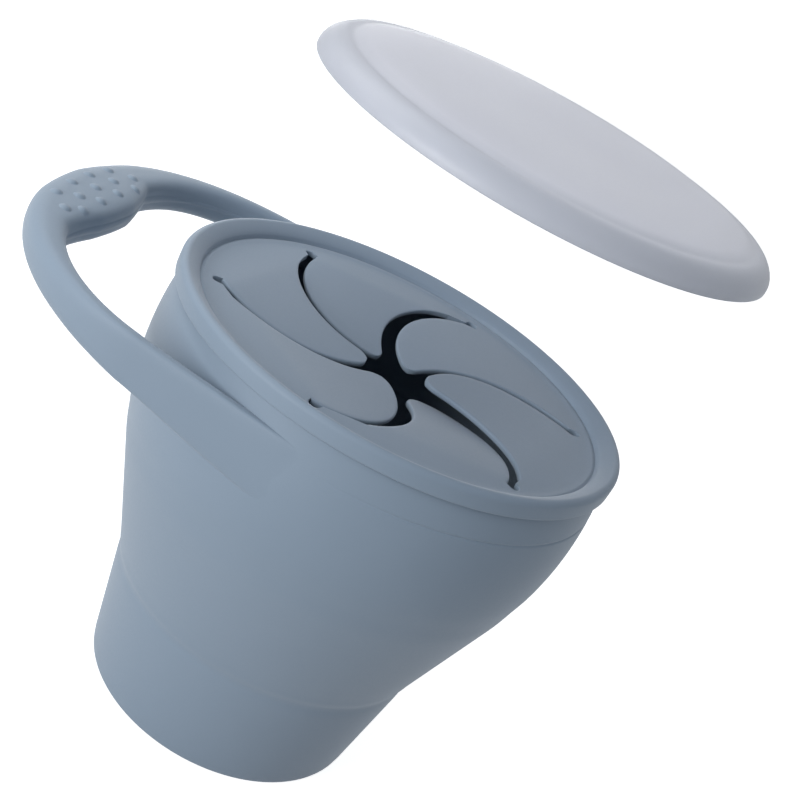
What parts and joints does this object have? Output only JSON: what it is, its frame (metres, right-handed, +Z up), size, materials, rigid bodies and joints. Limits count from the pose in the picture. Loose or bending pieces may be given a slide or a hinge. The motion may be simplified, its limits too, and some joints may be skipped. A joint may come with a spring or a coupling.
{
  "type": "toddler snack container",
  "caption": "Collapsible tapered silicone snack cup with a side loop handle, a lid of swirled petal flaps that spring shut round a hand, and a frosted dust cover.",
  "frame": {"origin": "centre of the cup's flat base, on the table", "axes": "+Z up along the cup's axis, -X towards the handle's grip, +Y completes a right-handed frame"},
  "size_m": [0.1255, 0.1075, 0.1331],
  "materials": {
    "silicone": "matte",
    "frosted_plastic": "frosted translucent"
  },
  "bodies": {
    "base": {"base_tier": "silicone"},
    "middle": {"middle_tier": "silicone", "lower_fold": "silicone"},
    "upper": {"upper_tier": "silicone", "upper_fold": "silicone", "handle_loop": "silicone", "grip_dots": "silicone"},
    "lid": {"lid_ring": "silicone"},
    "petal_1": {"petal_flap_1": "silicone"},
    "petal_2": {"petal_flap_2": "silicone"},
    "petal_3": {"petal_flap_3": "silicone"},
    "petal_4": {"petal_flap_4": "silicone"},
    "petal_5": {"petal_flap_5": "silicone"},
    "petal_6": {"petal_flap_6": "silicone"},
    "cover": {"dust_cover": "frosted_plastic"}
  },
  "joints": [
    {"name": "lower_collapse", "type": "slide", "parent": "base", "child": "middle", "axis": [0, 0, 1], "range_m": [-0.024, 0], "deforming": ["lower_fold"]},
    {"name": "upper_collapse", "type": "slide", "parent": "middle", "child": "upper", "axis": [0, 0, 1], "range_m": [-0.02, 0], "deforming": ["upper_fold"]},
    {"name": "lid_lift", "type": "slide", "parent": "upper", "child": "lid", "axis": [0, 0, 1], "range_m": [0, 0.045]},
    {"name": "petal_hinge_1", "type": "hinge", "parent": "lid", "child": "petal_1", "pos_m": [0.01924, 0.02648, 0.08295], "axis": [-0.809, 0.5878, 0], "range_deg": [-50, 41.9], "stiffness_Nm_per_rad": 0.02},
    {"name": "petal_hinge_2", "type": "hinge", "parent": "lid", "child": "petal_2", "pos_m": [-0.01332, 0.02991, 0.08295], "axis": [-0.9135, -0.4067, 0], "range_deg": [-50, 42.1], "stiffness_Nm_per_rad": 0.02},
    {"name": "petal_hinge_3", "type": "hinge", "parent": "lid", "child": "petal_3", "pos_m": [-0.03256, 0.00342, 0.08295], "axis": [-0.1045, -0.9945, 0], "range_deg": [-50, 40.2], "stiffness_Nm_per_rad": 0.02},
    {"name": "petal_hinge_4", "type": "hinge", "parent": "lid", "child": "petal_4", "pos_m": [-0.01924, -0.02648, 0.08295], "axis": [0.809, -0.5878, 0], "range_deg": [-50, 41.9], "stiffness_Nm_per_rad": 0.02},
    {"name": "petal_hinge_5", "type": "hinge", "parent": "lid", "child": "petal_5", "pos_m": [0.01332, -0.02991, 0.08295], "axis": [0.9135, 0.4067, 0], "range_deg": [-50, 44.8], "stiffness_Nm_per_rad": 0.02},
    {"name": "petal_hinge_6", "type": "hinge", "parent": "lid", "child": "petal_6", "pos_m": [0.03256, -0.00342, 0.08295], "axis": [0.1045, 0.9945, 0], "range_deg": [-50, 40.6], "stiffness_Nm_per_rad": 0.02},
    {"name": "cover_lift", "type": "slide", "parent": "lid", "child": "cover", "axis": [0.0627, 0.3203, 0.9452], "range_m": [-0.0446, 0.01]}
  ]
}
